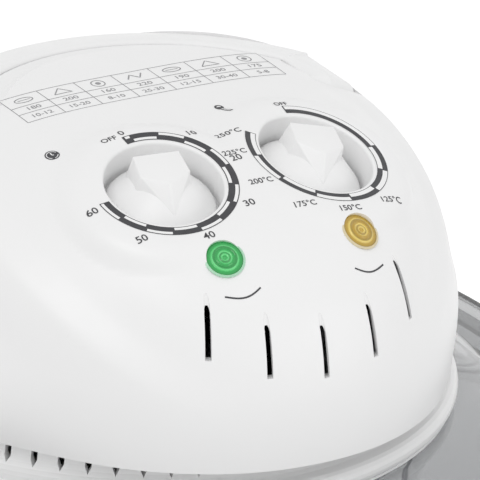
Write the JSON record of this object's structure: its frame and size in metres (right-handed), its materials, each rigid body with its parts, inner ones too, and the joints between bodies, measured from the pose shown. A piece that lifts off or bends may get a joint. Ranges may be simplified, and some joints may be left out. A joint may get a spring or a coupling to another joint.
{
  "type": "halogen_oven",
  "caption": "Countertop halogen oven with a glass bowl on a white stand, a lift-off glass lid with a white head, two turning dials and a fold-down carry handle",
  "frame": {"origin": "bottom centre of the bounding box: the middle of the stand, on the table", "axes": "+X width, towards the temperature dial's side; -Y the front, where the controls face; +Z height, the axis of the bowl"},
  "size_m": [0.356, 0.317, 0.3094],
  "materials": {
    "white_plastic": "white moulded plastic with a soft gloss",
    "black_rubber": "matt black rubber",
    "clear_glass": "clear tempered glass",
    "chrome_wire": "chromed steel wire",
    "grey_silicone": "dark grey silicone",
    "zinc_steel": "zinc-plated steel",
    "bright_sheet": "bright stainless sheet",
    "ceramic_fibre": "pressed ceramic fibre board",
    "quartz": "clear quartz",
    "ceramic": "unglazed white ceramic",
    "laminated_steel": "stacked electrical steel",
    "coil_tape": "yellow insulating tape over the winding",
    "grey_plastic": "pale grey moulded plastic",
    "black_plastic": "black moulded plastic",
    "red_plastic": "red moulded plastic",
    "green_lens": "clear green lens",
    "amber_lens": "clear amber lens"
  },
  "bodies": {
    "base": {"stand": "white_plastic", "rubber_feet": "black_rubber"},
    "bowl": {"glass_bowl": "clear_glass"},
    "rack": {"cooking_rack": "chrome_wire"},
    "lid": {"lid_glass": "clear_glass", "lid_gasket": "grey_silicone", "lower_housing": "white_plastic", "main_housing": "white_plastic", "housing_screws": "zinc_steel", "reflector_pan": "bright_sheet", "clamp_screws": "zinc_steel", "insulation_disc": "ceramic_fibre", "heat_shield": "zinc_steel", "halogen_tube": "quartz", "tube_holders": "ceramic", "fan_guard": "chrome_wire", "guard_screws": "zinc_steel", "motor_bracket": "zinc_steel", "motor_core": "laminated_steel", "motor_coil": "coil_tape", "bearing_bridge": "zinc_steel", "timer_body": "grey_plastic", "thermostat_body": "ceramic", "control_screws": "zinc_steel", "power_lens": "green_lens", "heat_lens": "amber_lens", "neon_lamps": "quartz", "safety_switch": "black_plastic", "terminal_block": "grey_plastic", "thermal_cutout": "zinc_steel", "cord_grommet": "black_rubber", "pivot_pins": "zinc_steel"},
    "handle": {"carry_handle": "white_plastic"},
    "plunger": {"switch_plunger": "red_plastic"},
    "timer_dial": {"timer_knob": "white_plastic", "timer_shaft": "zinc_steel"},
    "temperature_dial": {"temperature_knob": "white_plastic", "thermostat_shaft": "zinc_steel"},
    "rotor": {"motor_shaft": "zinc_steel", "motor_rotor": "laminated_steel", "hot_air_fan": "bright_sheet", "cooling_fan": "black_plastic", "fan_nut": "zinc_steel"}
  },
  "joints": [
    {"name": "bowl_lift", "type": "slide", "parent": "base", "child": "bowl", "axis": [0, 0, 1], "range_m": [0, 0.12]},
    {"name": "rack_lift", "type": "slide", "parent": "bowl", "child": "rack", "axis": [0, 0, 1], "range_m": [0, 0.06]},
    {"name": "lid_lift", "type": "slide", "parent": "bowl", "child": "lid", "axis": [0, 0, 1], "range_m": [0, 0.15]},
    {"name": "handle_fold", "type": "hinge", "parent": "lid", "child": "handle", "pos_m": [0, -0.005, 0.293], "axis": [1, 0, 0], "range_deg": [0, 90]},
    {"name": "plunger_press", "type": "slide", "parent": "lid", "child": "plunger", "axis": [0, 0, 1], "range_m": [0, 0.003]},
    {"name": "timer_turn", "type": "hinge", "parent": "lid", "child": "timer_dial", "pos_m": [-0.0297, -0.0655, 0.3012], "axis": [0.1164, 0.2957, -0.9482], "range_deg": [0, 270]},
    {"name": "temperature_turn", "type": "hinge", "parent": "lid", "child": "temperature_dial", "pos_m": [0.0297, -0.0655, 0.3012], "axis": [-0.1164, 0.2957, -0.9482], "range_deg": [0, 303]},
    {"name": "fan_spin", "type": "hinge", "parent": "lid", "child": "rotor", "pos_m": [0, 0, 0.2], "axis": [0, 0, 1], "continuous": true}
  ],
  "couplings": [
    {"joint": "plunger_press", "follows": "handle_fold", "m_per_rad": 0.0019}
  ]
}
